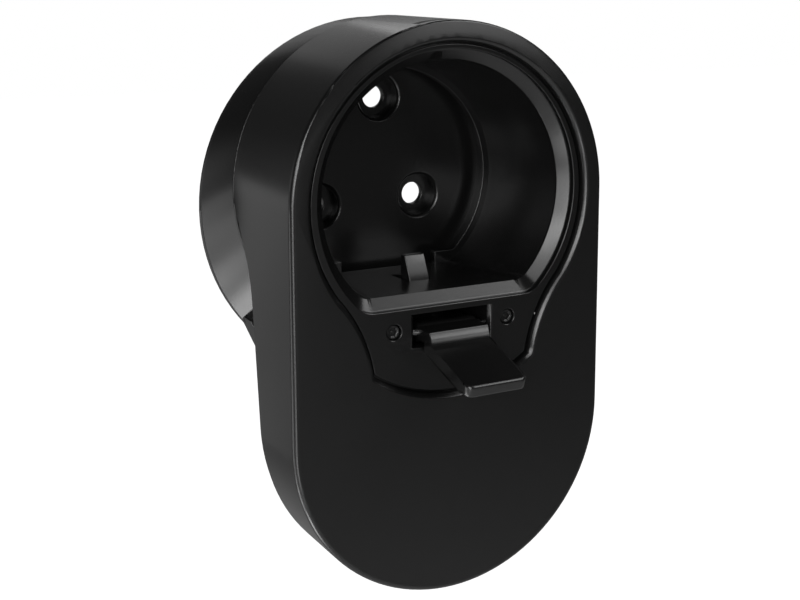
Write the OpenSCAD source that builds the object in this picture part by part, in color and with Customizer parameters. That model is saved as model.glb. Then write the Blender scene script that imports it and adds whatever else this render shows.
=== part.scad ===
// Wall holder for the plug of a car charging cable.
// A stadium shaped cover sits over a keyed socket and a round wall base,
// and a sprung lever under the socket keeps the plug in.
// X runs to the right, Y towards the wall and Z up. The origin lies on the
// wall face, on the axis of the socket.

/* [Cover] */
// Width of the rim round the opening
rim_w = 3.8; // [3.2:0.1:6]
// Distance between the centres of the upper and lower ends
cover_drop = 49.2; // [47:0.2:70]
// How much shallower the cover is at its lower end
sweep_depth = 14; // [11:0.2:17]
// Height where the rear edge starts to sweep forward
sweep_top_z = -2; // [-6:0.5:2]
// Height of the knee of the swept edge
sweep_knee_z = -17; // [-24:0.5:-12]
// How much shallower the cover is at the knee
sweep_knee_rise = 9; // [6:0.2:10]
// Height where the swept edge reaches its least depth
sweep_end_z = -60; // [-70:1:-45]
// Wall of the cover
cover_wall = 2.2; // [1.8:0.1:2.3]
// Rounding of the front edge
cover_edge = 1.2; // [0.5:0.1:1.8]
// Sideways place of the catch slot in the top
slot_x = -3.7; // [-4.5:0.1:0]
// Half the width of that slot
slot_half_w = 4; // [3:0.1:5]
// Length of the catch slot along the depth
slot_len = 2; // [1.4:0.1:2.4]

/* [Front opening] */
// Width of the socket plate's ring seen round the mouth
ring_w = 1.5; // [0.8:0.05:2]
// Height of the centre of the round part
key_z = 0.1; // [0:0.1:0.6]
// Half the width of the neck
neck_half = 19.4; // [18.6:0.1:21]
// Radius of the curved flanks of the neck
neck_r = 32.5; // [26:0.5:40]
// Radius of the curved lower end
key_end_r = 34; // [30:0.5:40]
// Height of the lower end of the opening
key_end_z = -42.8; // [-46:0.2:-41.5]
// Width of the bevel round the opening
lip = 0.8; // [0.5:0.1:1.2]
// How far the rim falls back at the top of the cover
crown_fall = 0.6; // [0.3:0.05:0.8]

/* [Socket] */
// Height of the socket centre
bore_z = 0.6; // [0:0.1:1]
// Radius of the socket mouth
bore_r = 28.5; // [27:0.1:31]
// How much the socket narrows to its rear, in radius
bore_draft = 1.7; // [0.5:0.1:2.2]
// Height of the flat of the socket
bore_flat_z = -20.2; // [-20.8:0.1:-19.5]
// How much the floor of the socket falls to its rear
floor_fall = 0.7; // [0:0.1:0.9]
// Rounding of the corners of the flat
bore_corner = 4.5; // [2:0.5:7]
// Width of the bevel of the mouth
mouth_w = 2.3; // [1.5:0.1:2.5]
// Depth where the bevel starts
mouth_depth = 2.8; // [2.2:0.1:3]
// Depth of the bevel
mouth_len = 1.95; // [1:0.05:2]
// Depth of the visible face of the socket plate
plate_depth = 1.5; // [0.8:0.1:1.7]
// Wall of the socket
socket_wall = 2.4; // [2:0.1:2.5]
// Distance of the socket's rear ledge from the wall
ledge_back = 10.5; // [10:0.1:13]
// Thickness of the rear ledge
ledge_t = 2.2; // [1.6:0.1:2.4]
// Width of the round part of the rear ledge
ledge_w = 1.6; // [1.2:0.1:4]
// Height of the flat part of the rear ledge
ledge_flat_h = 2.2; // [1.5:0.1:4]
// Half the width of the notch in that flat
ledge_notch_half = 12; // [8:0.2:13]
// Sideways place of the keyway in the crown of the socket
keyway_x = -2.5; // [-3:0.1:0]
// Width of the keyway
keyway_w = 3.4; // [2.5:0.1:5]
// Depth of the keyway in the wall
keyway_h = 1.6; // [1:0.1:1.8]

/* [Lever] */
// Width of the lever
lever_w = 14.4; // [12:0.2:15.5]
// Thickness of the lever
lever_t = 2.8; // [2.2:0.1:3]
// Height of the top of the lever's arm
arm_top_z = -27.5; // [-27.9:0.1:-27.1]
// Length of the tongue
tongue_len = 16; // [12:0.1:20]
// Slope of the tongue
tongue_tilt = 17; // [12:1:26]
// Distance of the tongue's root in front of the face
tongue_out = 2.5; // [2:0.1:3.5]
// Rounding of the tongue's corners
tongue_corner = 1.6; // [1:0.1:4]
// Half the width of the window
window_half = 9; // [8.6:0.1:9.4]
// Height of the top of the window
window_top_z = -24; // [-24.2:0.1:-23.6]
// Height of the bottom of the window
window_low_z = -31.3; // [-32:0.1:-30.9]
// Width of the bevels at the sides of the window
window_edge = 0.8; // [0.4:0.1:0.8]
// Depth of the hinge line
hinge_depth = 5; // [4.9:0.1:5.3]
// Radius of the hinge hole
hinge_r = 1; // [0.8:0.05:1.1]
// Radius of the lever's hub
hub_r = 2.05; // [1.9:0.05:2.1]
// Width of the catch
catch_w = 5; // [4:0.1:5.6]
// Height of the catch above the socket's flat
catch_rise = 5; // [4:0.1:5.4]
// Distance of the rear of the catch in front of the ledge
catch_back = 10.5; // [9:0.1:12]
// Length of the top of the catch
catch_top = 1.8; // [1:0.1:2.2]
// Length of the catch at the level of the socket's flat
catch_len = 4.3; // [3:0.1:4.8]
// Height of the room under the lever
lever_room = 8.2; // [8:0.1:9]

/* [Wall base] */
// Distance of the front face from the wall
total_depth = 41.5; // [40.9:0.1:44]
// Depth of the base behind the cover
base_len = 10.1; // [9.5:0.1:12]
// How much wider the base is at the wall, in radius
base_flare = 4.4; // [3:0.1:8]
// Height of the centre of the base at the wall
base_z = -5.1; // [-6:0.1:-3]
// Thickness of the rim at the wall
rim_t = 2; // [1:0.1:3]
// Thickness of the wall plate
wall_plate_t = 4.6; // [4:0.1:5]
// Radius of the holes for the wall screws
wall_hole_r = 2.6; // [2:0.05:3]
// Radius of the round seats of the wall screws
wall_seat_r = 4.9; // [4:0.1:5.5]
// Depth of those seats
wall_seat_t = 3; // [1:0.1:3.2]
// Rounding of the mouths of those seats
wall_seat_edge = 0.6; // [0.3:0.1:0.9]
// Sideways place of the upper wall screw
wall_top_x = 0.5; // [-2:0.1:2]
// Height of the upper wall screw
wall_top_z = 18.4; // [16:0.1:19]
// Sideways place of the left wall screw
wall_left_x = -14.9; // [-16:0.1:-12]
// Height of the left wall screw
wall_left_z = -6; // [-9:0.1:-4]
// Sideways place of the right wall screw
wall_right_x = 10.7; // [9:0.1:14]
// Height of the right wall screw
wall_right_z = -5.2; // [-9:0.1:-4]
// Half the width of the foot where it leaves the base
foot_top_half = 33; // [28:0.5:34]
// Half the width of the foot at its lower end
foot_low_half = 24; // [18:0.5:28]
// Height of the lower end of the foot
foot_low_z = -50; // [-56:0.5:-49]
// Height where the foot leaves the base
foot_top_z = -30; // [-33:0.5:-26]
// Thickness of the foot
foot_t = 7; // [4:0.5:8]

/* [Fasteners and spring] */
// Sideways place of the socket screws
screw_x = 13.9; // [13.7:0.1:14.2]
// Height of the socket screws
screw_z = -27.3; // [-28:0.1:-26.8]
// Radius of the screw heads
screw_head_r = 1.6; // [1.3:0.1:1.8]
// Thickness of the screw heads
screw_head_t = 1.1; // [0.8:0.1:1.2]
// Radius of the screw shanks
screw_r = 1.1; // [0.8:0.05:1.2]
// Length of the screw shanks
screw_len = 12; // [8:0.5:16]
// Radius of the screw posts
post_r = 2.9; // [2.4:0.1:3]
// Radius of the spring to the middle of its wire
spring_r = 2.2; // [1.8:0.1:2.6]
// Radius of the spring wire
spring_wire_r = 0.3; // [0.2:0.05:0.35]
// Turns of the spring
spring_turns = 5; // [3:1:6]

/* [Fits] */
// Gap between fixed pieces
fit_gap = 0.15; // [0.05:0.05:0.2]
// Gap round the socket plate, seen as a dark line
shadow_gap = 0.45; // [0.35:0.05:0.9]
// Gap between moving pieces
move_gap = 0.3; // [0.2:0.05:0.35]
// Running clearance of the hinge pin
pin_gap = 0.05; // [0.03:0.01:0.08]

/* [Hidden] */
$fn = 96;
// Overrun of every cut
over = 0.5;
// The step between the plate and the bevel of the mouth
step_gap = fit_gap;
key_r = bore_r + mouth_w + step_gap + ring_w + shadow_gap + lip;
cover_r = key_r + rim_w;
cover_depth = total_depth - base_len;
sweep_knee_depth = cover_depth - sweep_knee_rise;
cover_low_depth = cover_depth - sweep_depth;
bore_end_r = bore_r - bore_draft;
bore_end_z = bore_flat_z - floor_fall;
ledge_depth = total_depth - ledge_back;
ledge_r = bore_end_r - ledge_w;
ledge_flat_z = bore_end_z + ledge_flat_h + floor_fall;
catch_depth = ledge_depth - catch_back;
base_r = cover_r + base_flare;
cover_low_z = -cover_drop - cover_r;
hull_fn = 96;
// Steps of a rounded edge and of a blended bend
edge_steps = 6;
bend_steps = 8;
// Width of the recess in a screw head as a share of the head
head_recess_share = 0.62;
// Shares of the swept edge where its bend starts and ends
bend_start_share = 0.72;
bend_end_share = 0.16;
// Rear room behind the ledge
room_r = ledge_r + ledge_w + fit_gap;
// Place of the spring as a share of the way from the hinge to the catch
spring_share = 0.58;
// How far the flanks' circles reach into the round part of the opening
neck_bite = 0.1;
base_front_depth = cover_depth + fit_gap;
plate_front_depth = total_depth - wall_plate_t;
// The part of the base that enters the cover
core_r = cover_r - cover_wall - fit_gap;
core_front_depth = ledge_depth - 2 * ledge_t;
base_front_r = cover_r - fit_gap;
flange_depth = cover_wall + fit_gap;
flange_t = socket_wall;
flange_end = flange_depth + flange_t;
// The tab ends well inside the cover's skin, so that the slot stays dark
tab_top_z = sqrt(pow(cover_r, 2) - pow(slot_half_w - slot_x, 2)) - cover_wall / 2;
socket_r = bore_r + socket_wall;
socket_flat_z = bore_flat_z - socket_wall;
socket_end_depth = ledge_depth + ledge_t;
// The screw heads sit a little below the face of the plate
head_depth = plate_depth + screw_head_t / 2;
head_end = head_depth + screw_head_t;
hinge_z = arm_top_z - lever_t / 2;
arm_low_z = arm_top_z - lever_t;
catch_top_z = bore_flat_z + catch_rise;
housing_wall = 1.35;
housing_half = window_half + housing_wall;
room_low_z = arm_low_z - lever_room;
housing_low_z = room_low_z - housing_wall;
catch_slot_end = catch_depth + catch_rise * 0.8;
housing_end = catch_slot_end + housing_wall + move_gap;
key_end_mid_z = key_end_z + key_end_r;
neck_x = neck_half + neck_r;
neck_z = key_z - sqrt(pow(key_r + neck_r - neck_bite, 2) - pow(neck_x, 2));
// Half the width of the neck where it meets the round part
neck_top_half = neck_x * key_r / (key_r + neck_r);
flange_half = neck_half + cover_wall;
spring_depth = between(hinge_depth, catch_depth, spring_share);
flange_low_z = key_end_z - cover_wall;
stop_half = lever_w / 2 - move_gap;
// The cone of the crowned rim meets the flat front in a circle through the top of the opening
// and the sides of the cover
crown_in_r = key_r - lip;
crown_drop = (pow(cover_r, 2) - pow(crown_in_r, 2)) / (2 * crown_in_r);
crown_r = crown_in_r + crown_drop;
crown_slope = crown_fall / (cover_r + crown_drop - crown_r);

// A point of the quadratic curve through a and c that leans on b
function bend(a, b, c, t) = a * pow(1 - t, 2) + b * 2 * t * (1 - t) + c * pow(t, 2);

// A point a share of the way from a to b
function between(a, b, share) = a + (b - a) * share;

// Outline of a circle that is cut by a flat, with rounded corners
function keyed_outline(r, flat_z, corner, z0) =
    let (dz = flat_z + corner - z0, xs = sqrt(pow(r - corner, 2) - pow(dz, 2)), t = atan2(dz, xs))
    concat([for (i = [0 : 1 : 72]) let (a = t + (180 - 2 * t) * i / 72) [r * cos(a), z0 + r * sin(a)]],
           [for (i = [1 : 1 : 8]) let (a = 180 - t + (90 + t) * i / 8)
               [-xs + corner * cos(a), flat_z + corner + corner * sin(a)]],
           [for (i = [0 : 1 : 7]) let (a = 270 + (90 + t) * i / 8)
               [xs + corner * cos(a), flat_z + corner + corner * sin(a)]]);

// A flat outline made a slab between two depths behind the front face
module slab(d0, d1) {
    translate([0, d1 - total_depth, 0]) rotate([90, 0, 0]) linear_extrude(d1 - d0) children();
}

// A round bar between two depths
module rod(r, x, z, d0, d1) {
    translate([x, d1 - total_depth, z]) rotate([90, 0, 0]) cylinder(r = r, h = d1 - d0);
}

// A round bar that changes its radius between two depths
module taper(r0, r1, x, z, d0, d1) {
    translate([x, d1 - total_depth, z]) rotate([90, 0, 0]) cylinder(r1 = r1, r2 = r0, h = d1 - d0);
}

// A side view outline of depths and heights made a bar across X
module bar(half_w) {
    translate([-half_w, -total_depth, 0]) rotate([90, 0, 90]) linear_extrude(2 * half_w) children();
}

// Two equal ends joined by straight sides
module stadium(r) {
    circle(r);
    translate([0, -cover_drop]) circle(r);
    translate([-r, -cover_drop]) square([2 * r, cover_drop]);
}

// Section of the cover's outside from its middle out, with the rounded front edge
function edge_section(r, depth, e, inner) =
    concat([[inner, 0]],
           [for (i = [0 : 1 : edge_steps]) let (a = 90 * i / edge_steps) [r - e + e * sin(a), e - e * cos(a)]],
           [[r, depth], [inner, depth]]);

// The cover's outside as one block
module cover_block(r, depth, e) {
    half = edge_section(r, depth, e, 0);
    translate([0, -total_depth, 0]) {
        rotate([-90, 0, 0]) rotate([0, 0, 180]) rotate_extrude(angle = 180) polygon(half);
        translate([0, 0, -cover_drop]) rotate([-90, 0, 0]) rotate_extrude(angle = 180) polygon(half);
        for (side = [-1, 1])
            translate([0, 0, -cover_drop]) linear_extrude(cover_drop)
                polygon([for (p = half) [side * p[0], p[1]]]);
    }
}

// The keyhole outline of the front opening, drawn in by an even margin
module keyhole(margin) {
    difference() {
        union() {
            translate([0, key_z]) circle(key_r - margin);
            intersection() {
                translate([-neck_top_half, key_end_z]) square([2 * neck_top_half, -key_end_z]);
                translate([0, key_end_mid_z]) circle(key_end_r - margin);
            }
        }
        for (side = [-1, 1]) translate([side * neck_x, neck_z]) circle(neck_r + margin);
    }
}

// The bevel of the front opening
module keyhole_bevel() {
    difference() {
        union() {
            taper(key_r + over, key_r - lip, 0, key_z, -over, lip);
            intersection() {
                slab(-over, lip) translate([-neck_top_half, key_end_z - over]) square([2 * neck_top_half, -key_end_z]);
                taper(key_end_r + over, key_end_r - lip, 0, key_end_mid_z, -over, lip);
            }
        }
        for (side = [-1, 1]) taper(neck_r - over, neck_r + lip, side * neck_x, neck_z, -over, lip);
    }
}

// What is cut away behind the swept rear edge of the cover
module sweep_cut() {
    top = [cover_depth, sweep_top_z];
    knee = [sweep_knee_depth, sweep_knee_z];
    end = [cover_low_depth, sweep_end_z];
    // The slanted edge runs on past the rear face by the overrun
    past = between(knee, top, 1 + over / (cover_depth - sweep_knee_depth));
    bar(cover_r + over) polygon(concat(
        [past],
        [for (i = [0 : 1 : bend_steps])
            bend(between(top, knee, bend_start_share), knee, between(knee, end, bend_end_share), i / bend_steps)],
        [end, [cover_low_depth, cover_low_z - over], [past[0], cover_low_z - over]]));
}

// What is cut away in front of the rim, whose upper half falls back to the outside
module crown_cut() {
    difference() {
        slab(-over, 2 * crown_fall) translate([-2 * cover_r, 0]) square([4 * cover_r, 2 * cover_r]);
        taper(crown_r - over / crown_slope, crown_r + 2 * crown_fall / crown_slope, 0, -crown_drop, -over, 2 * crown_fall);
    }
}

module front_cover() {
    color("#2b2b2d") difference() {
        cover_block(cover_r, cover_depth, cover_edge);
        slab(cover_wall, cover_depth + over) stadium(cover_r - cover_wall);
        sweep_cut();
        crown_cut();
        // The opening and its bevel
        slab(-over, cover_wall + over) keyhole(lip);
        keyhole_bevel();
        // The slot that the socket's tab catches in
        translate([slot_x - slot_half_w, flange_depth - total_depth, cover_r - 2 * cover_wall])
            cube([2 * slot_half_w, slot_len, 3 * cover_wall]);
    }
}

// The socket's room, narrowing to the rear
module socket_room() {
    hull() {
        slab(mouth_depth + mouth_len, mouth_depth + mouth_len + over)
            polygon(keyed_outline(bore_r, bore_flat_z, bore_corner, bore_z));
        slab(ledge_depth - over, ledge_depth)
            polygon(keyed_outline(bore_end_r, bore_end_z, bore_corner, bore_z));
    }
    // The bevel of the mouth
    hull() {
        slab(mouth_depth - fit_gap, mouth_depth)
            polygon(keyed_outline(bore_r + mouth_w, bore_flat_z - mouth_w, bore_corner + mouth_w / 2, bore_z));
        slab(mouth_depth + mouth_len, mouth_depth + mouth_len + fit_gap)
            polygon(keyed_outline(bore_r, bore_flat_z, bore_corner, bore_z));
    }
    // The step from the plate down to the bevel
    slab(plate_depth - over, mouth_depth)
        polygon(keyed_outline(bore_r + mouth_w + step_gap, bore_flat_z - mouth_w - step_gap,
                              bore_corner + mouth_w / 2, bore_z));
}

// The opening of the rear ledge with its notch
module ledge_opening() {
    intersection() {
        translate([0, bore_z]) circle(ledge_r);
        translate([-ledge_r, ledge_flat_z]) square([2 * ledge_r, 2 * ledge_r]);
    }
    translate([-ledge_notch_half, bore_end_z]) square([2 * ledge_notch_half, ledge_flat_z - bore_end_z + over]);
}

// The trapezoid keyway in the crown of the socket
module keyway() {
    slab(mouth_depth, ledge_depth) translate([keyway_x, 0])
        polygon([[-keyway_w / 2, bore_z + bore_r - keyway_h], [keyway_w / 2, bore_z + bore_r - keyway_h],
                 [keyway_w / 2, bore_z + bore_r - keyway_h / 4], [keyway_w / 4, bore_z + bore_r + keyway_h],
                 [-keyway_w / 4, bore_z + bore_r + keyway_h], [-keyway_w / 2, bore_z + bore_r - keyway_h / 4]]);
}

module socket_insert() {
    color("#1c1c1e") difference() {
        union() {
            // The visible plate in the cover's opening
            slab(plate_depth, flange_depth + fit_gap) keyhole(lip + shadow_gap);
            // The flange behind the cover's front wall
            slab(flange_depth, flange_end) {
                circle(core_r);
                translate([-flange_half, flange_low_z]) square([2 * flange_half, -flange_low_z]);
            }
            // The tab in the cover's slot
            translate([slot_x - slot_half_w + fit_gap, flange_depth + fit_gap - total_depth, core_r - 2 * cover_wall])
                cube([2 * (slot_half_w - fit_gap), slot_len - 2 * fit_gap, tab_top_z - core_r + 2 * cover_wall]);
            // The socket
            slab(flange_depth, socket_end_depth)
                polygon(keyed_outline(socket_r, socket_flat_z, bore_corner, bore_z));
            // The housing of the lever
            slab(flange_depth, housing_end)
                translate([-housing_half, housing_low_z]) square([2 * housing_half, socket_flat_z - housing_low_z + over]);
        }
        socket_room();
        keyway();
        slab(ledge_depth - over, socket_end_depth + over) ledge_opening();
        // The room of the lever and its window
        slab(flange_end, housing_end - housing_wall)
            translate([-window_half, room_low_z]) square([2 * window_half, socket_flat_z - room_low_z]);
        slab(plate_depth - over, flange_end + over)
            translate([-window_half, window_low_z]) square([2 * window_half, window_top_z - window_low_z]);
        for (side = [-1, 1]) translate([side * window_half, plate_depth - total_depth, window_low_z])
            linear_extrude(window_top_z - window_low_z)
                polygon([[-side * over, -over], [side * (window_edge + over), -over], [-side * over, window_edge + over]]);
        // The slot that the catch comes up through
        slab(catch_depth - catch_len - move_gap, catch_slot_end)
            translate([-catch_w / 2 - move_gap, socket_flat_z - over])
                square([catch_w + 2 * move_gap, socket_wall + 2 * over]);
        // The hinge line
        translate([-housing_half - over, hinge_depth - total_depth, hinge_z]) rotate([0, 90, 0])
            cylinder(r = hinge_r, h = 2 * (housing_half + over));
        // Seats and holes of the two screws
        for (side = [-1, 1]) {
            rod(screw_head_r + fit_gap, side * screw_x, screw_z, plate_depth - over, head_end + pin_gap);
            rod(screw_r + fit_gap, side * screw_x, screw_z, plate_depth, flange_end + over);
        }
    }
    // The peg that the spring stands round
    color("#1c1c1e") translate([0, spring_depth - total_depth, room_low_z])
        cylinder(r = spring_r - spring_wire_r - fit_gap, h = lever_t / 2);
}

module wall_base() {
    color("#333335") difference() {
        union() {
            hull() {
                rod(base_front_r, 0, 0, base_front_depth, base_front_depth + fit_gap, $fn = hull_fn);
                rod(base_r, 0, base_z, total_depth - rim_t, total_depth, $fn = hull_fn);
            }
            rod(core_r, 0, 0, core_front_depth, base_front_depth + over);
            slab(total_depth - foot_t, total_depth)
                polygon([[-foot_top_half, foot_top_z], [-foot_low_half, foot_low_z],
                         [foot_low_half, foot_low_z], [foot_top_half, foot_top_z]]);
            for (side = [-1, 1])
                rod(post_r, side * screw_x, screw_z, flange_end + fit_gap, base_front_depth + over);
        }
        // The recess that takes the socket
        slab(core_front_depth - over, socket_end_depth + fit_gap) intersection() {
            translate([0, bore_z]) circle(socket_r + fit_gap);
            translate([-cover_r, socket_flat_z - fit_gap]) square(2 * cover_r);
        }
        rod(room_r, 0, bore_z, socket_end_depth, plate_front_depth);
        for (p = [[wall_left_x, wall_left_z], [wall_right_x, wall_right_z], [wall_top_x, wall_top_z]]) {
            rod(wall_hole_r, p[0], p[1], plate_front_depth - over, total_depth + over);
            rod(wall_seat_r, p[0], p[1], plate_front_depth - over, plate_front_depth + wall_seat_t);
            taper(wall_seat_r + wall_seat_edge + over, wall_seat_r, p[0], p[1],
                  plate_front_depth - over, plate_front_depth + wall_seat_edge);
        }
        for (side = [-1, 1])
            rod(screw_r + fit_gap / 2, side * screw_x, screw_z, flange_end - over, flange_end + fit_gap + screw_len);
    }
}

module release_lever() {
    web_rear = plate_depth - 2 * move_gap;
    web_low_z = arm_low_z - lever_t;
    color("#252527") difference() {
        union() {
            // The arm through the window, back to the catch
            slab(web_rear - lever_t / 2, catch_depth)
                translate([-lever_w / 2, arm_low_z]) square([lever_w, lever_t]);
            // The web in front of the plate, its face leaning back
            bar(lever_w / 2) polygon([[-tongue_out + lever_t / 3, arm_top_z], [web_rear, arm_top_z],
                [web_rear, web_low_z + lever_t / 4], [-tongue_out + lever_t / 2, web_low_z],
                [-tongue_out, arm_low_z]]);
            // The tongue that the finger lifts
            translate([0, -tongue_out - total_depth, arm_low_z]) rotate([tongue_tilt, 0, 0])
                translate([0, 0, -lever_t]) linear_extrude(lever_t) difference() {
                    translate([-lever_w / 2, -tongue_len]) square([lever_w, tongue_len + lever_t / 2]);
                    for (side = [-1, 1]) translate([side * lever_w / 2, -tongue_len]) difference() {
                        square(2 * tongue_corner, center = true);
                        translate([-side * tongue_corner, tongue_corner]) circle(tongue_corner);
                    }
                }
            // The hub on the hinge pin
            translate([-lever_w / 2, hinge_depth - total_depth, hinge_z]) rotate([0, 90, 0])
                cylinder(r = hub_r, h = lever_w);
            // The catch, with a ramp to the front and a steep rear
            bar(catch_w / 2) polygon([[catch_depth, arm_low_z + lever_t / 2], [catch_depth, catch_top_z],
                [catch_depth - catch_top, catch_top_z], [catch_depth - catch_len, bore_flat_z],
                [catch_depth - catch_len, arm_low_z + lever_t / 2]]);
            // Two stops against the underside of the socket
            for (side = [-1, 1])
                translate([side * (stop_half - lever_t / 2), catch_depth - lever_t / 2 - total_depth,
                           (arm_low_z + socket_flat_z - move_gap) / 2])
                    cube([lever_t, lever_t, socket_flat_z - move_gap - arm_low_z], center = true);
        }
        translate([-window_half, hinge_depth - total_depth, hinge_z]) rotate([0, 90, 0])
            cylinder(r = hinge_r, h = 2 * window_half);
    }
}

module hinge_pin() {
    color("#b9bcc0") translate([-housing_half + fit_gap, hinge_depth - total_depth, hinge_z]) rotate([0, 90, 0])
        cylinder(r = hinge_r - pin_gap, h = 2 * (housing_half - fit_gap));
}

// A coil of round wire that stands on the housing's floor, under the arm
module lever_spring() {
    low = room_low_z + spring_wire_r;
    rise = arm_low_z - move_gap / 2 - spring_wire_r - low;
    steps = 16;
    ring = 6;
    count = spring_turns * steps;
    points = [for (i = [0 : 1 : count], j = [0 : 1 : ring - 1])
        let (a = 360 * i / steps, b = 360 * j / ring, s = spring_r + spring_wire_r * cos(b))
        [s * cos(a), s * sin(a), low + rise * i / count + spring_wire_r * sin(b)]];
    sides = [for (i = [0 : 1 : count - 1], j = [0 : 1 : ring - 1])
        let (k = (j + 1) % ring) [i * ring + j, i * ring + k, (i + 1) * ring + k, (i + 1) * ring + j]];
    ends = [[for (j = [0 : 1 : ring - 1]) ring - 1 - j], [for (j = [0 : 1 : ring - 1]) count * ring + j]];
    color("#c4c6c8") translate([0, spring_depth - total_depth, 0])
        polyhedron(points, concat(sides, ends), convexity = 10);
}

// A small screw with a round recess and a centre pin in its head
module insert_screw(side) {
    color("#8c8f93") {
        difference() {
            rod(screw_head_r, side * screw_x, screw_z, head_depth, head_end);
            rod(screw_head_r * head_recess_share, side * screw_x, screw_z, head_depth - over, head_end - screw_head_t / 2);
        }
        rod(screw_head_r / 4, side * screw_x, screw_z, head_depth + screw_head_t / 4, head_end);
        rod(screw_r, side * screw_x, screw_z, head_end - screw_head_t / 4, head_end + screw_len);
    }
}

module insert_screw_left() { insert_screw(-1); }

module insert_screw_right() { insert_screw(1); }

front_cover();
socket_insert();
wall_base();
release_lever();
hinge_pin();
lever_spring();
insert_screw_left();
insert_screw_right();
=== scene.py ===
"""Looks of a wall holder for the plug of a car charging cable.

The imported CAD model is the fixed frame. Each moulding and each small steel piece is finished
here and rides on its CAD body, and a studio with a pale floor is set up around them.
All lengths are in metres. X runs to the right, the front faces -Y and Z is up.
"""

from __future__ import annotations

import logging
import math
from dataclasses import dataclass
from enum import Enum
from typing import Mapping, Optional, Sequence, Union

import bmesh
import bpy
from mathutils import Matrix, Vector


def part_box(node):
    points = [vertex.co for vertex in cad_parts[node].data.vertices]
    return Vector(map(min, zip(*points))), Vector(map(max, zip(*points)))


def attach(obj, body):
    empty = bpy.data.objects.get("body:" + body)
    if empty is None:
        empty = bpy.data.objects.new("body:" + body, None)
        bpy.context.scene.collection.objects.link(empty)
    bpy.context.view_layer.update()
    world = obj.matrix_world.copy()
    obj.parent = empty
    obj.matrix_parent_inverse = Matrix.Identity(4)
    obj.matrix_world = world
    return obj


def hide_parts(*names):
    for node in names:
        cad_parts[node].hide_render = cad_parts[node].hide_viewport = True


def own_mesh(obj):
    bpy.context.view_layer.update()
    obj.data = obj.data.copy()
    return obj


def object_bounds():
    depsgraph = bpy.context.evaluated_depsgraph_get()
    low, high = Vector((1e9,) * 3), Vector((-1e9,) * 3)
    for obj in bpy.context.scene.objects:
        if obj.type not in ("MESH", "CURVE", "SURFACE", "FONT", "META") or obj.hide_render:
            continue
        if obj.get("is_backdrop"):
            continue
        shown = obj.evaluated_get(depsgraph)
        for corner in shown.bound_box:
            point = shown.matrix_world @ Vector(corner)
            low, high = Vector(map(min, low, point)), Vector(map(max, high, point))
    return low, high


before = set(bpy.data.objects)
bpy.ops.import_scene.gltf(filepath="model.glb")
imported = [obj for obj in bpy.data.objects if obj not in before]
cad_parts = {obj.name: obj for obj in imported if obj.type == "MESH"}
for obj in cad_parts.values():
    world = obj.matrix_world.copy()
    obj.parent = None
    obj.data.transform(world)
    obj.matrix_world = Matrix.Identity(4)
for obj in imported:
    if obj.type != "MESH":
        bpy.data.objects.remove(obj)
cad_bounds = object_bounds()

Point = tuple[float, float, float]
Colour = tuple[float, float, float, float]

MM = 0.001
WHITE: Colour = (1.0, 1.0, 1.0, 1.0)
log = logging.getLogger("wall_holder")


class Body(Enum):
    """The CAD bodies that pieces ride on."""

    HOLDER = "holder"
    LEVER = "lever"


class Slot(Enum):
    """The record's material slots."""

    COVER = "cover_plastic"
    SOCKET = "socket_plastic"
    BASE = "base_plastic"
    LEVER = "lever_plastic"
    PIN = "pin_steel"
    SPRING = "spring_steel"
    SCREW = "screw_steel"


class Axis(Enum):
    """The direction in which a turned piece lies, from its first end to its last."""

    ALONG_X = "x"
    TO_WALL = "y"


def grey(level: float) -> Colour:
    """Makes a neutral colour.

    Args:
        level: Its linear brightness.

    Returns:
        The colour with full opacity.
    """
    return (level, level, level, 1.0)


def shaded(colour: Colour, share: float) -> Colour:
    """Makes a colour darker or lighter.

    Args:
        colour: The colour.
        share: What its brightness is multiplied by.

    Returns:
        The new colour with full opacity.
    """
    red, green, blue = (part * share for part in colour[:3])
    return (red, green, blue, 1.0)


# Node trees


class Tree:
    """A node tree, with one method that adds any node to it."""

    def __init__(self, tree: bpy.types.NodeTree) -> None:
        """Takes over a tree and empties it.

        Args:
            tree: The tree of a material, a world or a Geometry Nodes group.
        """
        self.tree = tree
        tree.nodes.clear()

    def node(
        self,
        kind: str,
        settings: Optional[Mapping[str, object]] = None,
        sockets: Optional[Mapping[Union[str, int], object]] = None,
    ) -> bpy.types.Node:
        """Adds a node.

        Args:
            kind: The node's type.
            settings: Its properties, set before its sockets.
            sockets: A value, a socket or a term for each input, by name or number.

        Returns:
            The new node.
        """
        made = self.tree.nodes.new(kind)
        for key, value in (settings or {}).items():
            setattr(made, key, value)
        for key, value in (sockets or {}).items():
            self.plug(made.inputs[key], value)
        return made

    def plug(self, socket: bpy.types.NodeSocket, value: object) -> None:
        """Gives an input its link or its value.

        Args:
            socket: The input.
            value: A term, an output socket or a plain value.
        """
        if isinstance(value, Term):
            value = value.socket
        if isinstance(value, bpy.types.NodeSocket):
            self.tree.links.new(value, socket)
        else:
            socket.default_value = value

    def term(
        self,
        kind: str,
        settings: Optional[Mapping[str, object]] = None,
        sockets: Optional[Mapping[Union[str, int], object]] = None,
        output: Union[str, int] = 0,
    ) -> Term:
        """Adds a node and returns one of its outputs as a term.

        Args:
            kind: The node's type.
            settings: Its properties.
            sockets: A value, a socket or a term for each input.
            output: The name or number of the output.

        Returns:
            The output, ready for an expression.
        """
        return Term(self, self.node(kind, settings, sockets).outputs[output])


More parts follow.
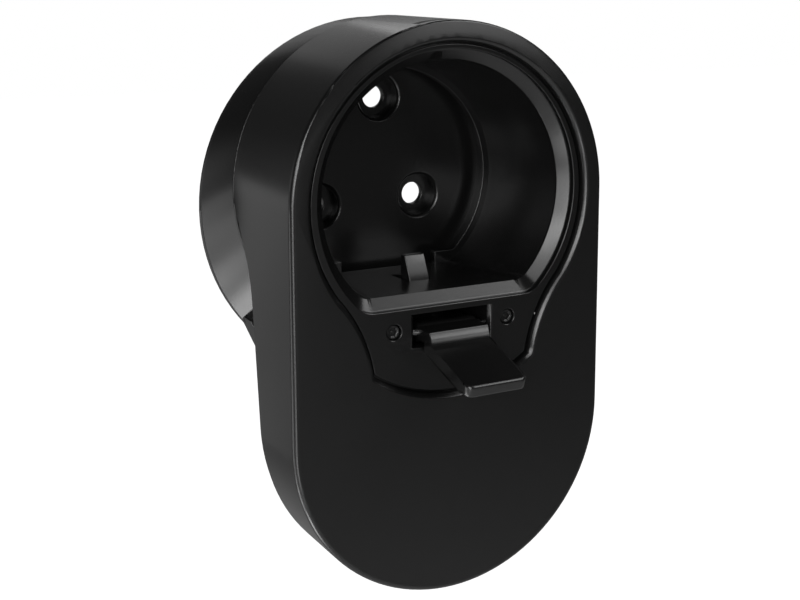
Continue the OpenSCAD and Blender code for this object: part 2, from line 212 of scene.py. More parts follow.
class Term:
    """A number output in an expression. Each operator adds the Math node that works it out."""

    def __init__(self, tree: Tree, socket: bpy.types.NodeSocket) -> None:
        """Wraps an output socket.

        Args:
            tree: The tree that the socket is in.
            socket: The output socket.
        """
        self.tree = tree
        self.socket = socket

    def _math(self, operation: str, *values: object, clamp: bool = False) -> Term:
        """Adds a Math node on the values."""
        settings = {"operation": operation, "use_clamp": clamp}
        return self.tree.term("ShaderNodeMath", settings, dict(enumerate(values)))

    def __add__(self, other: object) -> Term:
        """Adds a number or a term."""
        return self._math("ADD", self, other)

    __radd__ = __add__

    def __sub__(self, other: object) -> Term:
        """Takes a number or a term away."""
        return self._math("SUBTRACT", self, other)

    def __rsub__(self, other: object) -> Term:
        """Takes this term away from a number."""
        return self._math("SUBTRACT", other, self)

    def __mul__(self, other: object) -> Term:
        """Multiplies by a number or a term."""
        return self._math("MULTIPLY", self, other)

    __rmul__ = __mul__

    def __truediv__(self, other: object) -> Term:
        """Divides by a number or a term."""
        return self._math("DIVIDE", self, other)

    def __rtruediv__(self, other: object) -> Term:
        """Divides a number by this term."""
        return self._math("DIVIDE", other, self)

    def __pow__(self, power: object) -> Term:
        """Raises to a power."""
        return self._math("POWER", self, power)

    def sine(self) -> Term:
        """The sine of an angle in radians."""
        return self._math("SINE", self)

    def largest(self, other: object) -> Term:
        """The larger of the two."""
        return self._math("MAXIMUM", self, other)

    def held(self) -> Term:
        """The value, held between 0 and 1."""
        return self._math("ADD", self, 0.0, clamp=True)

    def step(self, low: float, high: float) -> Term:
        """Rises smoothly from 0 at low to 1 at high.

        Args:
            low: Where the step starts.
            high: Where it ends.

        Returns:
            The smooth step.
        """
        t = self._math("DIVIDE", self - low, high - low, clamp=True)
        return t * t * (3.0 - 2.0 * t)


# Finishes


@dataclass(frozen=True)
class Plastic:
    """A moulded black plastic with the fine grain of an eroded mould.

    Attributes:
        name: The material's name.
        colour: Its colour.
        roughness: The mean roughness of its surface.
        grain_size: The width of a grain.
        grain_depth: The height of the grain.
        cloud: How much the roughness drifts over a few centimetres.
        specular: The strength of its mirror reflection.
        patches: How close the patches of drift lie, in patches per metre.
        flow_lines: How close the flow marks lie along X, Y and Z, in marks per metre.
        shades: Its darkest and its lightest shade, as shares of its colour.
    """

    name: str
    colour: Colour
    roughness: float
    grain_size: float
    grain_depth: float
    cloud: float = 0.012
    specular: float = 0.5
    patches: float = 42.0
    flow_lines: Point = (900.0, 900.0, 60.0)
    shades: tuple[float, float] = (0.82, 1.2)

    def material(self) -> bpy.types.Material:
        """Builds the material.

        Returns:
            The material, which reads Object coordinates.
        """
        made = bpy.data.materials.new(self.name)
        made.use_nodes = True
        tree = Tree(made.node_tree)
        place = tree.node("ShaderNodeTexCoord").outputs["Object"]
        grain = tree.term(
            "ShaderNodeTexNoise",
            {"noise_dimensions": "3D"},
            {"Vector": place, "Scale": 1 / self.grain_size, "Detail": 2.0, "Roughness": 0.55},
        )
        pits = tree.term(
            "ShaderNodeTexVoronoi",
            {"feature": "SMOOTH_F1"},
            {"Vector": place, "Scale": 0.7 / self.grain_size, "Smoothness": 0.6},
        )
        drift = tree.term(
            "ShaderNodeTexNoise",
            {"noise_dimensions": "3D"},
            {"Vector": place, "Scale": self.patches, "Detail": 3.0, "Roughness": 0.5, "Distortion": 0.4},
        )
        # Faint flow marks of the melt, drawn out along the height
        stretch = tree.node(
            "ShaderNodeMapping", {"vector_type": "POINT"}, {"Vector": place, "Scale": self.flow_lines}
        ).outputs[0]
        flow = tree.term(
            "ShaderNodeTexNoise", {"noise_dimensions": "3D"}, {"Vector": stretch, "Scale": 1.0, "Detail": 1.0}
        )
        shade = ((drift - 0.5) * 0.5 + (grain - 0.5) * 0.35 + 0.5).held()
        dark, light = (shaded(self.colour, share) for share in self.shades)
        colour = tree.node(
            "ShaderNodeMix", {"data_type": "RGBA"}, {0: shade, 6: dark, 7: light}
        ).outputs[2]
        clouded = self.roughness + (drift - 0.5) * (2 * self.cloud) + (flow - 0.5) * self.cloud
        roughness = (clouded + (grain - 0.5) * 0.03).held()
        height = grain * 0.65 + pits * 0.35
        bump = tree.node(
            "ShaderNodeBump", None, {"Strength": 1.0, "Distance": self.grain_depth, "Height": height}
        ).outputs[0]
        shader = tree.node(
            "ShaderNodeBsdfPrincipled",
            None,
            {
                "Base Color": colour,
                "Roughness": roughness,
                "Specular IOR Level": self.specular,
                "Normal": bump,
            },
        )
        tree.node("ShaderNodeOutputMaterial", None, {"Surface": shader.outputs[0]})
        return made


@dataclass(frozen=True)
class Steel:
    """Drawn or turned steel with fine lines round or along the piece.

    Attributes:
        name: The material's name.
        colour: Its colour.
        roughness: The mean roughness.
        lines: How close the lines lie along X, Y and Z, in lines per metre.
        line_depth: The depth of the lines.
        stains: How close the stains lie, in stains per metre.
        shades: Its darkest and its lightest shade, as shares of its colour.
    """

    name: str
    colour: Colour
    roughness: float
    lines: Point
    line_depth: float = 0.004 * MM
    stains: float = 700.0
    shades: tuple[float, float] = (0.8, 1.12)

    def material(self) -> bpy.types.Material:
        """Builds the material.

        Returns:
            The material, which reads Object coordinates.
        """
        made = bpy.data.materials.new(self.name)
        made.use_nodes = True
        tree = Tree(made.node_tree)
        place = tree.node("ShaderNodeTexCoord").outputs["Object"]
        drawn = tree.node("ShaderNodeMapping", None, {"Vector": place, "Scale": self.lines}).outputs[0]
        lines = tree.term("ShaderNodeTexNoise", None, {"Vector": drawn, "Scale": 1.0, "Detail": 2.0})
        stain = tree.term("ShaderNodeTexNoise", None, {"Vector": place, "Scale": self.stains, "Detail": 3.0})
        dark, light = (shaded(self.colour, share) for share in self.shades)
        shade = (stain * 0.6 + lines * 0.4).held()
        colour = tree.node(
            "ShaderNodeMix", {"data_type": "RGBA"}, {0: shade, 6: dark, 7: light}
        ).outputs[2]
        roughness = (self.roughness + (lines - 0.5) * 0.16 + (stain - 0.5) * 0.1).held()
        bump = tree.node(
            "ShaderNodeBump", None, {"Strength": 1.0, "Distance": self.line_depth, "Height": lines}
        ).outputs[0]
        shader = tree.node(
            "ShaderNodeBsdfPrincipled",
            None,
            {"Base Color": colour, "Metallic": 1.0, "Roughness": roughness, "Normal": bump},
        )
        tree.node("ShaderNodeOutputMaterial", None, {"Surface": shader.outputs[0]})
        return made


Finish = Union[Plastic, Steel]


# Meshes


def node_copy(node: str, flat_within: float) -> bmesh.types.BMesh:
    """Copies a CAD node's mesh, with its loose triangles joined and its flat faces made whole.

    Args:
        node: The CAD node's name.
        flat_within: The most that two triangles of one face may differ, or 0 to keep them all.

    Returns:
        The copy, to be freed by the caller.
    """
    work = bmesh.new()
    work.from_mesh(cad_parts[node].data)
    work.verts.ensure_lookup_table()
    bmesh.ops.remove_doubles(work, verts=work.verts, dist=1e-6)
    if flat_within:
        bmesh.ops.dissolve_limit(
            work, angle_limit=flat_within, use_dissolve_boundaries=False, verts=work.verts, edges=work.edges
        )
    return work


def round_corners(
    work: bmesh.types.BMesh,
    radius: float,
    steps: int,
    corner: float,
    shortest: float,
    front_of: float = math.inf,
) -> int:
    """Rounds the outer corners of a moulding, as a real mould does.

    Args:
        work: The mesh.
        radius: How far a rounding reaches from its corner.
        steps: Faces across a rounding.
        corner: The least angle between two faces that counts as a corner.
        shortest: The shortest edge that is rounded.
        front_of: Only corners with a lower Y than this are rounded.

    Returns:
        How many edges were rounded.
    """
    sharp = [
        e
        for e in work.edges
        if len(e.link_faces) == 2
        and e.calc_face_angle_signed(0.0) > corner
        and e.calc_length() > shortest
        and max(v.co.y for v in e.verts) < front_of
    ]
    bmesh.ops.bevel(
        work, geom=sharp, offset=radius, offset_type="OFFSET", segments=steps, profile=0.5,
        affect="EDGES", clamp_overlap=False, miter_outer="SHARP", loop_slide=True,
    )
    return len(sharp)


def lathe(
    profile: Sequence[tuple[float, float]], steps: int, lobed: Sequence[int] = (), lobe: float = 0.0
) -> bmesh.types.BMesh:
    """Turns a profile round the Z axis into a closed solid.

    Args:
        profile: Pairs of a radius and a height, from one point on the axis to the other.
        steps: Faces round the solid.
        lobed: The numbers of the profile's points that wave in and out six times a turn.
        lobe: How far they wave, as a share of their radius.

    Returns:
        The solid, to be freed by the caller.
    """
    work = bmesh.new()
    rings: list[list[bmesh.types.BMVert]] = []
    for number, (radius, height) in enumerate(profile):
        if radius == 0:
            rings.append([work.verts.new((0.0, 0.0, height))])
            continue
        ring = []
        for i in range(steps):
            turn = 2 * math.pi * i / steps
            reach = radius * (1 - lobe * (0.5 - 0.5 * math.cos(6 * turn))) if number in lobed else radius
            ring.append(work.verts.new((reach * math.cos(turn), reach * math.sin(turn), height)))
        rings.append(ring)
    for low, high in zip(rings, rings[1:]):
        for i in range(steps):
            j = (i + 1) % steps
            corners = [low[i % len(low)], low[j % len(low)], high[j % len(high)], high[i % len(high)]]
            work.faces.new(list(dict.fromkeys(corners)))
    bmesh.ops.recalc_face_normals(work, faces=work.faces)
    return work


def lay(work: bmesh.types.BMesh, axis: Axis, place: Vector) -> None:
    """Lays a turned solid along its axis at its place.

    Args:
        work: The solid, turned round Z.
        axis: Where its Z axis goes.
        place: Where its origin goes.
    """
    turn = {
        Axis.ALONG_X: Matrix.Rotation(math.pi / 2, 4, "Y"),
        Axis.TO_WALL: Matrix.Rotation(-math.pi / 2, 4, "X"),
    }[axis]
    bmesh.ops.transform(work, matrix=Matrix.Translation(place) @ turn, verts=work.verts)


def finished_mesh(work: bmesh.types.BMesh, name: str, smooth_below: float) -> bpy.types.Mesh:
    """Turns working geometry into a mesh with smooth faces and crisp corners.

    Args:
        work: The geometry, which is freed.
        name: The mesh's name.
        smooth_below: Faces that meet at less than this angle shade as one.

    Returns:
        The mesh.
    """
    mesh = bpy.data.meshes.new(name)
    work.to_mesh(mesh)
    work.free()
    mesh.polygons.foreach_set("use_smooth", [True] * len(mesh.polygons))
    mesh.set_sharp_from_angle(angle=smooth_below)
    mesh.update()
    return mesh


# Pieces


@dataclass
class Piece:
    """A finished piece that stands for one CAD node.

    Attributes:
        name: The piece's name.
        node: The CAD node that it stands for.
        body: The body that it rides on.
        slot: The record's material slot that it stands for. Not used.
        finish: Its finish.
    """

    name: str
    node: str
    body: Body
    slot: Slot
    finish: Finish

    def link(self, mesh: bpy.types.Mesh) -> bpy.types.Object:
        """Makes the piece's object at the origin, with its finish.

        Args:
            mesh: The mesh, in place.

        Returns:
            The object.
        """
        made = bpy.data.objects.new(self.name, mesh)
        bpy.context.scene.collection.objects.link(made)
        mesh.materials.clear()
        mesh.materials.append(self.finish.material())
        return made

    def settle(self, made: bpy.types.Object) -> bpy.types.Object:
        """Lets the piece ride on its body in place of its CAD node.

        Args:
            made: The finished object.

        Returns:
            The same object.
        """
        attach(made, self.body.value)
        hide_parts(self.node)
        faces = len(made.data.polygons)
        log.info("%s: %d faces, for %s on %s", made.name, faces, self.node, self.body.value)
        return made


@dataclass
class Moulding(Piece):
    """A moulded piece with the small radii that its mould leaves on every outer corner.

    Attributes:
        radius: The radius of its corners.
        steps: Faces across a rounded corner.
        corner: The least angle that counts as a corner.
        shortest: The shortest edge that is rounded.
        flat_within: The most that two triangles of one flat face may differ.
        front_of: The Y in front of which corners are rounder.
        front_radius: The radius of those rounder corners.
        front_steps: Faces across one of them.
        smooth_below: Faces that meet at less than this angle shade as one.
    """

    radius: float = 0.22 * MM
    steps: int = 2
    corner: float = math.radians(30)
    shortest: float = 0.05 * MM
    flat_within: float = math.radians(0.4)
    front_of: float = -math.inf
    front_radius: float = 0.6 * MM
    front_steps: int = 4
    smooth_below: float = math.radians(36)

    def build(self) -> bpy.types.Object:
        """Copies the CAD node, rounds its corners and dresses it.

        Returns:
            The finished object.
        """
        work = node_copy(self.node, self.flat_within)
        count = round_corners(
            work, self.front_radius, self.front_steps, self.corner, self.shortest, self.front_of
        )
        count += round_corners(work, self.radius, self.steps, self.corner, self.shortest)
        log.info("%s: %d corner edges rounded by %.2f mm", self.name, count, self.radius / MM)
        made = self.link(finished_mesh(work, self.name, self.smooth_below))
        weighted = made.modifiers.new("even_shading", "WEIGHTED_NORMAL")
        weighted.keep_sharp = True
        return self.settle(made)


@dataclass(frozen=True)
class WireWinding:
    """Round wire wound in a helix by Geometry Nodes: a spring, or the thread of a screw.

    Attributes:
        radius: The radius to the middle of the wire.
        wire: The radius of the wire.
        rise: How far the helix rises, from the middle of the wire to the middle.
        turns: Its number of turns.
        even: 1 for an even pitch, and less where the end turns lie closer.
        steps: Points in a turn.
        sides: Sides of the wire.
    """

    radius: float
    wire: float
    rise: float
    turns: float
    even: float = 1.0
    steps: int = 40
    sides: int = 12

    def wind(self, made: bpy.types.Object, foot: Vector, turned: Point) -> bpy.types.Mesh:
        """Winds the wire round an object's own mesh and joins the two.

        Args:
            made: The object, with its material in its first slot.
            foot: The middle of the first turn.
            turned: How the helix is turned from Z, in radians about X, Y and Z.

        Returns:
            The plain mesh of both.
        """
        group = self._group()
        modifier = made.modifiers.new("winding", "NODES")
        modifier.node_group = group
        values = {
            "Coil Radius": self.radius,
            "Wire Radius": self.wire,
            "Rise": self.rise,
            "Turns": self.turns,
            "Evenness": self.even,
            "Steps": self.steps,
            "Sides": self.sides,
            "Foot": tuple(foot),
            "Turned": turned,
            "Finish": made.data.materials[0],
        }
        for item in group.interface.items_tree:
            if item.in_out == "INPUT" and item.name in values:
                modifier[item.identifier] = values[item.name]
        view = bpy.context.evaluated_depsgraph_get()
        view.update()
        mesh = bpy.data.meshes.new_from_object(made.evaluated_get(view), depsgraph=view)
        made.modifiers.remove(modifier)
        return mesh

    @staticmethod
    def _group() -> bpy.types.GeometryNodeTree:
        """Builds the node group, or finds it if it is there.

        Returns:
            The node group.
        """
        found = bpy.data.node_groups.get("wire_winding")
        if found:
            return found
        group = bpy.data.node_groups.new("wire_winding", "GeometryNodeTree")
        face = group.interface
        face.new_socket(name="Core", in_out="INPUT", socket_type="NodeSocketGeometry")
        for name in ("Coil Radius", "Wire Radius", "Rise", "Turns", "Evenness"):
            face.new_socket(name=name, in_out="INPUT", socket_type="NodeSocketFloat")
        for name in ("Steps", "Sides"):
            face.new_socket(name=name, in_out="INPUT", socket_type="NodeSocketInt")
        for name in ("Foot", "Turned"):
            face.new_socket(name=name, in_out="INPUT", socket_type="NodeSocketVector")
        face.new_socket(name="Finish", in_out="INPUT", socket_type="NodeSocketMaterial")
        face.new_socket(name="Wound", in_out="OUTPUT", socket_type="NodeSocketGeometry")
        tree = Tree(group)
        given = tree.node("NodeGroupInput").outputs
        rise = Term(tree, given["Rise"])
        even = Term(tree, given["Evenness"])
        helix = tree.node(
            "GeometryNodeCurveSpiral",
            None,
            {
                "Resolution": given["Steps"],
                "Rotations": given["Turns"],
                "Start Radius": given["Coil Radius"],
                "End Radius": given["Coil Radius"],
                "Height": 0.0,
            },
        ).outputs[0]
        along = tree.term("GeometryNodeSplineParameter", None, None, "Factor")
        # Closer turns at both ends where the winding isn't even
        height = rise * (along - (1.0 - even) * (along * (2 * math.pi)).sine() / (2 * math.pi))
        lift = tree.node("ShaderNodeCombineXYZ", None, {"Z": height}).outputs[0]
        risen = tree.node("GeometryNodeSetPosition", None, {"Geometry": helix, "Offset": lift}).outputs[0]
        ring = tree.node(
            "GeometryNodeCurvePrimitiveCircle",
            {"mode": "RADIUS"},
            {"Resolution": given["Sides"], "Radius": given["Wire Radius"]},
        ).outputs[0]
        wire = tree.node(
            "GeometryNodeCurveToMesh", None, {"Curve": risen, "Profile Curve": ring, "Fill Caps": True}
        ).outputs[0]
        turn = tree.node("FunctionNodeEulerToRotation", None, {"Euler": given["Turned"]}).outputs[0]
        placed = tree.node(
            "GeometryNodeTransform",
            None,
            {"Geometry": wire, "Translation": given["Foot"], "Rotation": turn},
        ).outputs[0]
        smooth = tree.node(
            "GeometryNodeSetShadeSmooth", None, {"Geometry": placed, "Shade Smooth": True}
        ).outputs[0]
        joined = tree.node("GeometryNodeJoinGeometry")
        tree.plug(joined.inputs[0], smooth)
        tree.plug(joined.inputs[0], given["Core"])
        real = tree.node("GeometryNodeRealizeInstances", None, {"Geometry": joined.outputs[0]}).outputs[0]
        dressed = tree.node(
            "GeometryNodeSetMaterial", None, {"Geometry": real, "Material": given["Finish"]}
        ).outputs[0]
        tree.node("NodeGroupOutput", None, {"Wound": dressed})
        return group


@dataclass
class CoverShell:
    """The stadium shaped front cover with its keyhole opening.

    Attributes:
        radius: The radius of its small corners.
        finish: Its matt plastic.
    """

    radius: float = 0.3 * MM
    finish: Plastic = Plastic("cover_black", grey(0.0042), 0.25, 0.34 * MM, 0.0025 * MM)

    def build(self) -> list[bpy.types.Object]:
        """Builds the cover.

        Returns:
            Its one object.
        """
        piece = Moulding(
            "cover_shell", "front_cover", Body.HOLDER, Slot.COVER, self.finish,
            radius=self.radius, flat_within=0.0,
        )
        return [piece.build()]


@dataclass
class PlugSocket:
    """The socket moulding and the two small screws that hold it.

    Attributes:
        radius: The radius of the moulding's corners.
        head_radius: The radius of a screw head.
        head_height: The height of a screw head.
        shank_radius: The radius under the thread.
        recess_share: The width of the recess as a share of the head.
        recess_depth: The depth of the recess as a share of the head's height.
        lobe: How far the recess's lobes wave, as a share of its width.
        pin_share: The width of the pin in the recess as a share of the head.
        edge: The chamfer of the head and of its recess.
        bare: The length without thread under the head and at the tip.
        tip_cut: The height of the tip's cone below the shank's end.
        smooth_below: Faces of a screw that meet at less than this angle shade as one.
        thread: The radius of the thread's ridge.
        pitch: The pitch of the thread.
        finish: The moulding's plastic.
        steel: The screws' steel.
    """

    radius: float = 0.2 * MM
    head_radius: float = 1.6 * MM
    head_height: float = 1.1 * MM
    shank_radius: float = 0.86 * MM
    recess_share: float = 0.62
    recess_depth: float = 0.55
    lobe: float = 0.16
    pin_share: float = 0.25
    edge: float = 0.18 * MM
    bare: float = 1.2 * MM
    tip_cut: float = 0.1 * MM
    smooth_below: float = math.radians(38)
    thread: float = 0.16 * MM
    pitch: float = 0.7 * MM
    finish: Plastic = Plastic("socket_black", grey(0.0036), 0.24, 0.26 * MM, 0.002 * MM)
    steel: Steel = Steel("screw_black_steel", grey(0.05), 0.38, (2500.0, 2500.0, 2500.0))

    def build(self) -> list[bpy.types.Object]:
        """Builds the moulding and the screws.

        Returns:
            The three objects.
        """
        moulding = Moulding(
            "socket_moulding", "socket_insert", Body.HOLDER, Slot.SOCKET, self.finish, radius=self.radius
        )
        return [moulding.build(), self._screw("left"), self._screw("right")]

    def _screw(self, side: str) -> bpy.types.Object:
        """Turns one screw, winds its thread and sets it in its seat.

        Args:
            side: The side it is on, left or right.

        Returns:
            The screw.
        """
        node = "insert_screw_" + side
        low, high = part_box(node)
        place = Vector(((low.x + high.x) / 2, low.y, (low.z + high.z) / 2))
        length = high.y - low.y
        head, edge = self.head_radius, self.edge
        floor = self.head_height * self.recess_depth
        tip = length - self.bare
        profile = [
            (0.0, floor * 0.45),
            (head * self.pin_share * 0.8, floor * 0.45),
            (head * self.pin_share, floor * 0.6),
            (head * self.pin_share, floor),
            (head * self.recess_share * 0.94, floor),
            (head * self.recess_share, edge),
            (head * self.recess_share + edge, 0.0),
            (head - edge, 0.0),
            (head, edge),
            (head, self.head_height - edge / 2),
            (head - edge / 2, self.head_height),
            (self.shank_radius, self.head_height),
            (self.shank_radius, tip),
            (self.shank_radius * 0.45, length - self.tip_cut),
            (0.0, length),
        ]
        work = lathe(profile, 48, lobed=(4, 5), lobe=self.lobe)
        lay(work, Axis.TO_WALL, place)
        piece = Piece("socket_screw_" + side, node, Body.HOLDER, Slot.SCREW, self.steel)
        made = piece.link(finished_mesh(work, piece.name, self.smooth_below))
        start = self.head_height + self.bare
        rise = tip - start
        wound = WireWinding(self.shank_radius, self.thread, rise, rise / self.pitch, steps=24, sides=4)
        mesh = wound.wind(made, place + Vector((0.0, start, 0.0)), (-math.pi / 2, 0.0, 0.0))
        mesh.name = piece.name
        made.data = mesh
        return piece.settle(made)


@dataclass
class WallBase:
    """The flared base that is screwed to the wall.

    Attributes:
        radius: The radius of its corners.
        finish: Its matt plastic.
    """

    radius: float = 0.25 * MM
    finish: Plastic = Plastic("base_black", grey(0.0042), 0.25, 0.34 * MM, 0.0025 * MM)

    def build(self) -> list[bpy.types.Object]:
        """Builds the base.

        Returns:
            Its one object.
        """
        piece = Moulding(
            "base_moulding", "wall_base", Body.HOLDER, Slot.BASE, self.finish, radius=self.radius
        )
        return [piece.build()]


@dataclass
class SprungLever:
    """The lever with its tongue and catch, the pin that it turns on and the spring under it.

    Attributes:
        radius: The radius of the lever's corners.
        tongue_end: The length of the tongue's end whose corners are rounder.
        pin_chamfer: The chamfer at both ends of the pin.
        pin_smooth_below: Faces of the pin that meet at less than this angle shade as one.
        wire: The radius of the spring's wire.
        turns: The spring's turns.
        evenness: How even the spring's pitch is.
        pressed: The spring's height with the catch fully down, as a share of its height at rest. Not used.
        finish: The lever's plastic.
        pin_steel: The pin's steel.
        spring_steel: The spring's steel.
    """

    radius: float = 0.2 * MM
    tongue_end: float = 4.5 * MM
    pin_chamfer: float = 0.25 * MM
    pin_smooth_below: float = math.radians(40)
    wire: float = 0.3 * MM
    turns: float = 5.0
    evenness: float = 0.48
    pressed: float = 0.53
    finish: Plastic = Plastic("lever_black", grey(0.0044), 0.24, 0.24 * MM, 0.002 * MM)
    pin_steel: Steel = Steel("pin_drawn_steel", grey(0.5), 0.24, (120.0, 5200.0, 5200.0))
    spring_steel: Steel = Steel("spring_wire_steel", grey(0.46), 0.26, (1800.0, 1800.0, 5200.0))

    def build(self) -> list[bpy.types.Object]:
        """Builds the lever, the pin and the spring.

        Returns:
            The three objects.
        """
        lever = Moulding(
            "lever_moulding", "release_lever", Body.LEVER, Slot.LEVER, self.finish,
            radius=self.radius, front_of=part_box("release_lever")[0].y + self.tongue_end,
        )
        return [lever.build(), self._pin(), self._spring()]

    def _pin(self) -> bpy.types.Object:
        """Turns the hinge pin with its chamfered ends.

        Returns:
            The pin.
        """
        low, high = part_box("hinge_pin")
        length, reach, cut = high.x - low.x, (high.z - low.z) / 2, self.pin_chamfer
        # The rounded chamfer, in shares of its size: how far in from the side and along from the end
        chamfer = ((1.3, 0.0), (1.0, 0.1), (0.12, 1.0), (0.0, 1.4))
        first = [(reach - inward * cut, along * cut) for inward, along in chamfer]
        last = [(radius, length - along) for radius, along in reversed(first)]
        profile = [(0.0, 0.0), *first, *last, (0.0, length)]
        work = lathe(profile, 48)
        lay(work, Axis.ALONG_X, Vector((low.x, (low.y + high.y) / 2, (low.z + high.z) / 2)))
        piece = Piece("lever_pin", "hinge_pin", Body.HOLDER, Slot.PIN, self.pin_steel)
        return piece.settle(piece.link(finished_mesh(work, piece.name, self.pin_smooth_below)))

    def _spring(self) -> bpy.types.Object:
        """Winds the coil spring.

        Returns:
            The spring.
        """
        low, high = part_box("lever_spring")
        middle = (low + high) / 2
        piece = Piece("lever_coil", "lever_spring", Body.HOLDER, Slot.SPRING, self.spring_steel)
        made = piece.link(bpy.data.meshes.new(piece.name))
        radius = (high.x - low.x) / 2 - self.wire
        rise = high.z - low.z - 2 * self.wire
        wound = WireWinding(radius, self.wire, rise, self.turns, self.evenness, steps=36, sides=14)
        mesh = wound.wind(made, Vector((middle.x, middle.y, low.z + self.wire)), (0.0, 0.0, 0.0))
        mesh.name = piece.name
        made.data = mesh
        piece.settle(made)
        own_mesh(made)
        return made


# Studio


@dataclass(frozen=True)
class SoftBox:
    """A soft rectangular lamp that faces the holder.

    Attributes:
        name: The lamp's name.
        towards: The direction from the holder to the lamp.
        glow: The brightness of its face, where 1 is white.
        distance: How far it stands.
        size: Its width and height.
    """

    name: str
    towards: Point
    glow: float
    distance: float = 0.80
    size: tuple[float, float] = (0.30, 0.30)

    def build(self, aim: Vector) -> bpy.types.Object:
        """Sets the lamp up.

        Args:
            aim: The point that it faces.

        Returns:
            The lamp.
        """
        data = bpy.data.lights.new(self.name, "AREA")
        data.shape = "RECTANGLE"
        data.size, data.size_y = self.size
        data.energy = self.glow * math.pi * self.size[0] * self.size[1]
        made = bpy.data.objects.new(self.name, data)
        away = Vector(self.towards).normalized()
        made.location = aim + away * self.distance
        made.rotation_euler = away.to_track_quat("Z", "Y").to_euler()
        made.visible_camera = False
        bpy.context.scene.collection.objects.link(made)
        return made


@dataclass
class PhotoCamera:
    """The camera at the place from which the photograph was taken.

    Attributes:
        place: Where it stands.
        aim: The point that its axis meets.
        roll: How far it is rolled, in radians.
        focal: The focal length in pixels of the frame.
        centre: Where its axis meets the frame, in pixels.
        frame_size: The frame in pixels.
    """

    place: Point = (-0.13807, -0.28169, 0.04766)
    aim: Point = (0.0, -0.0415, 0.0)
    roll: float = math.radians(0.21)
    focal: float = 1341.0
    centre: tuple[float, float] = (456.08, 199.84)
    frame_size: tuple[int, int] = (800, 600)

    def build(self) -> bpy.types.Object:
        """Sets the camera up and makes it the scene's camera.

        Returns:
            The camera.
        """
        data = bpy.data.cameras.new("photo_camera")
        made = bpy.data.objects.new("photo_camera", data)
        bpy.context.scene.collection.objects.link(made)
        ahead = (Vector(self.aim) - Vector(self.place)).normalized()
        right = ahead.cross(Vector((0.0, 0.0, 1.0))).normalized()
        up = right.cross(ahead)
        cos, sin = math.cos(self.roll), math.sin(self.roll)
        axes = Matrix((right * cos + up * sin, up * cos - right * sin, -ahead)).transposed().to_4x4()
        axes.translation = Vector(self.place)
        made.matrix_world = axes
        width, height = self.frame_size
        data.sensor_fit = "HORIZONTAL"
        data.sensor_width = 36.0
        data.lens = self.focal / width * data.sensor_width
        data.shift_x = (width / 2 - self.centre[0]) / width
        data.shift_y = (self.centre[1] - height / 2) / width
        data.clip_start = 0.01
        bpy.context.scene.camera = made
        return made


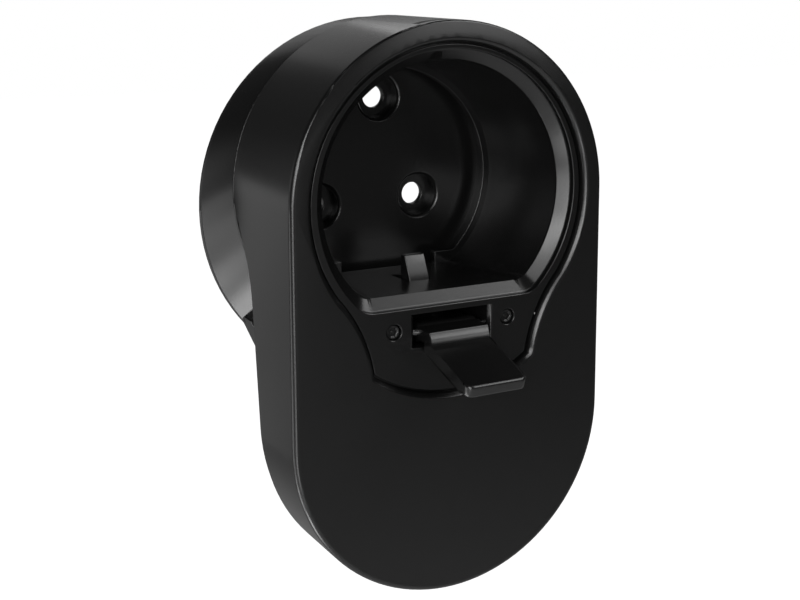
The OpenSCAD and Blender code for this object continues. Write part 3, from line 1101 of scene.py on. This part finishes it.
@dataclass
class Studio:
    """A pale floor, a white backdrop and soft lamps at a plain level.

    Attributes:
        floor_drop: How far the floor lies below the origin.
        floor_half: Half the width of the floor.
        ambient: The level of the light from all around.
        floor_own: How white the floor is of itself near the holder, where the lamps light it too.
        floor_fade: How far out it starts and ends its change to full white.
        floor_mirrored: How bright the holder mirrors the floor far behind it.
        floor_behind: How far behind it starts and reaches that brightness.
        right_glow: How bright the holder mirrors the backdrop on the right.
        left_glow: The same on the left.
        upper_glow: The same above and behind.
        room_glow: How bright it mirrors the rest of the room.
        boxes: The lamps.
        aim: The point that the lamps face.
    """

    floor_drop: float = 0.45
    floor_half: float = 5.0
    ambient: float = 0.08
    floor_own: float = 0.85
    floor_fade: tuple[float, float] = (0.5, 1.3)
    floor_mirrored: float = 0.3
    floor_behind: tuple[float, float] = (1.2, 3.0)
    right_glow: float = 0.95
    left_glow: float = 0.68
    upper_glow: float = 0.055
    room_glow: float = 0.01
    aim: Point = (0.0, -0.03, -0.02)
    boxes: tuple[SoftBox, ...] = (
        SoftBox("soft_front_middle", (0.14, -0.98, -0.15), 0.45),
        SoftBox("soft_high_left_front_1", (-0.52, -0.62, 0.59), 2.94),
        SoftBox("soft_high_left_front_2", (-0.75, -0.58, 0.33), 6.28),
        SoftBox("soft_high_middle_back", (0.16, 0.92, 0.35), 0.32),
        SoftBox("soft_high_right_back", (0.43, 0.75, 0.51), 1.06),
        SoftBox("soft_high_right_front_1", (0.55, -0.55, 0.63), 5.07),
        SoftBox("soft_high_right_front_2", (0.50, -0.78, 0.37), 2.50),
        SoftBox("soft_high_right_side", (0.67, -0.15, 0.73), 3.37),
        SoftBox("soft_left_back_1", (-0.30, 0.93, -0.23), 0.22),
        SoftBox("soft_left_back_2", (-0.90, 0.32, -0.29), 2.33),
        SoftBox("soft_left_front_1", (-0.52, -0.83, 0.17), 7.41),
        SoftBox("soft_left_front_2", (-0.70, -0.71, -0.09), 4.36),
        SoftBox("soft_low_left_front", (-0.52, -0.69, -0.51), 4.58),
        SoftBox("soft_low_left_side_1", (-0.89, -0.01, -0.45), 1.56),
        SoftBox("soft_low_left_side_2", (-0.69, 0.14, -0.71), 4.82, 0.59, (0.22, 0.22)),
        SoftBox("soft_top_right_side", (0.38, -0.24, 0.89), 1.14),
        SoftBox("soft_under_left_side", (-0.49, -0.07, -0.87), 7.93, 0.48, (0.18, 0.18)),
    )

    def build(self) -> None:
        """Sets up the floor, the world, the lamps and the camera."""
        self._floor()
        self._world()
        for box in self.boxes:
            box.build(Vector(self.aim))
        PhotoCamera().build()
        bpy.context.scene.view_settings.view_transform = "Standard"
        log.info("studio: floor at %.2f m, %d lamps", -self.floor_drop, len(self.boxes))

    @staticmethod
    def _seen(tree: Tree) -> tuple[Term, Term]:
        """Tells what kind of ray meets a surface.

        Args:
            tree: The tree that asks.

        Returns:
            1 for a ray from the camera or through glass, and 1 for a glossy ray.
        """
        path = tree.node("ShaderNodeLightPath").outputs
        camera, clear = Term(tree, path["Is Camera Ray"]), Term(tree, path["Is Transmission Ray"])
        return camera.largest(clear), Term(tree, path["Is Glossy Ray"])

    def _floor(self) -> bpy.types.Object:
        """Lays the pale floor, which shows white and keeps the holder's shadow.

        Returns:
            The floor.
        """
        work = bmesh.new()
        drop = Matrix.Translation((0.0, 0.0, -self.floor_drop))
        reach = Matrix.Diagonal((self.floor_half, self.floor_half, 1.0, 1.0))
        bmesh.ops.create_grid(work, x_segments=8, y_segments=8, size=1.0, matrix=drop @ reach)
        mesh = bpy.data.meshes.new("pale_floor")
        work.to_mesh(mesh)
        work.free()
        material = bpy.data.materials.new("pale_floor")
        material.use_nodes = True
        tree = Tree(material.node_tree)
        seen, glossy = self._seen(tree)
        place = tree.node("ShaderNodeTexCoord").outputs["Object"]
        parts = tree.node("ShaderNodeSeparateXYZ", None, {0: place}).outputs
        side, back = Term(tree, parts["X"]), Term(tree, parts["Y"])
        # It fades into the white backdrop. Mirrored in the holder, it is pale only far behind it
        far = (side * side + back * back) ** 0.5
        direct = self.floor_own + far.step(*self.floor_fade) * (1.0 - self.floor_own)
        mirrored = back.step(*self.floor_behind) * self.floor_mirrored
        strength = seen * direct + glossy * mirrored
        glow = tree.node("ShaderNodeEmission", None, {"Color": WHITE, "Strength": strength}).outputs[0]
        matt = tree.node("ShaderNodeBsdfDiffuse", None, {"Color": grey(0.8)}).outputs[0]
        both = tree.node("ShaderNodeAddShader", None, {0: glow, 1: matt}).outputs[0]
        tree.node("ShaderNodeOutputMaterial", None, {"Surface": both})
        mesh.materials.append(material)
        floor = bpy.data.objects.new("pale_floor", mesh)
        bpy.context.scene.collection.objects.link(floor)
        floor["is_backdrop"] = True
        return floor

    def _world(self) -> None:
        """Sets up the backdrop: white to the camera, and graded where the holder mirrors it."""
        world = bpy.data.worlds.new("studio_world")
        world.use_nodes = True
        bpy.context.scene.world = world
        tree = Tree(world.node_tree)
        seen, glossy = self._seen(tree)
        way = tree.node("ShaderNodeTexCoord").outputs["Generated"]
        parts = tree.node("ShaderNodeSeparateXYZ", None, {0: way}).outputs
        side, back, up = (Term(tree, parts[axis]) for axis in "XYZ")
        # The lit backdrop stands low behind the holder on both sides, and the room in front is dark
        low = 1.0 - up.step(0.0, 0.35)
        right = side.step(0.3, 0.8) * self.right_glow
        left = (side * -1.0).step(0.3, 0.8) * self.left_glow
        beside = (right + left) * back.step(0.1, 0.6) * low
        above = back.step(0.4, 0.95) * up.step(0.0, 0.35) * self.upper_glow
        mirrored = beside + above + self.room_glow
        other = (1.0 - seen) * (1.0 - glossy)
        strength = seen + glossy * mirrored + other * self.ambient
        shade = tree.node("ShaderNodeBackground", None, {"Color": WHITE, "Strength": strength}).outputs[0]
        tree.node("ShaderNodeOutputWorld", None, {"Surface": shade})


def write_sizes() -> None:
    """Gathers the CAD box and the finished model's box side by side."""

    def plain(value: object) -> object:
        """Turns vectors and tuples into plain lists."""
        if isinstance(value, dict):
            return {key: plain(item) for key, item in value.items()}
        if isinstance(value, (str, int, float)):
            return value
        return [plain(item) for item in value]

    {"cad": plain(cad_bounds), "visual": plain(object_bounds())}


def main() -> None:
    """Builds the holder's sub-assemblies in order, then the studio."""
    logging.basicConfig(level=logging.INFO, format="%(name)s: %(message)s")
    Studio().build()
    for part in (WallBase(), CoverShell(), PlugSocket(), SprungLever()):
        pieces = part.build()
        log.info("%s: %s", type(part).__name__, ", ".join(piece.name for piece in pieces))
    write_sizes()


if __name__ == "__main__":
    main()
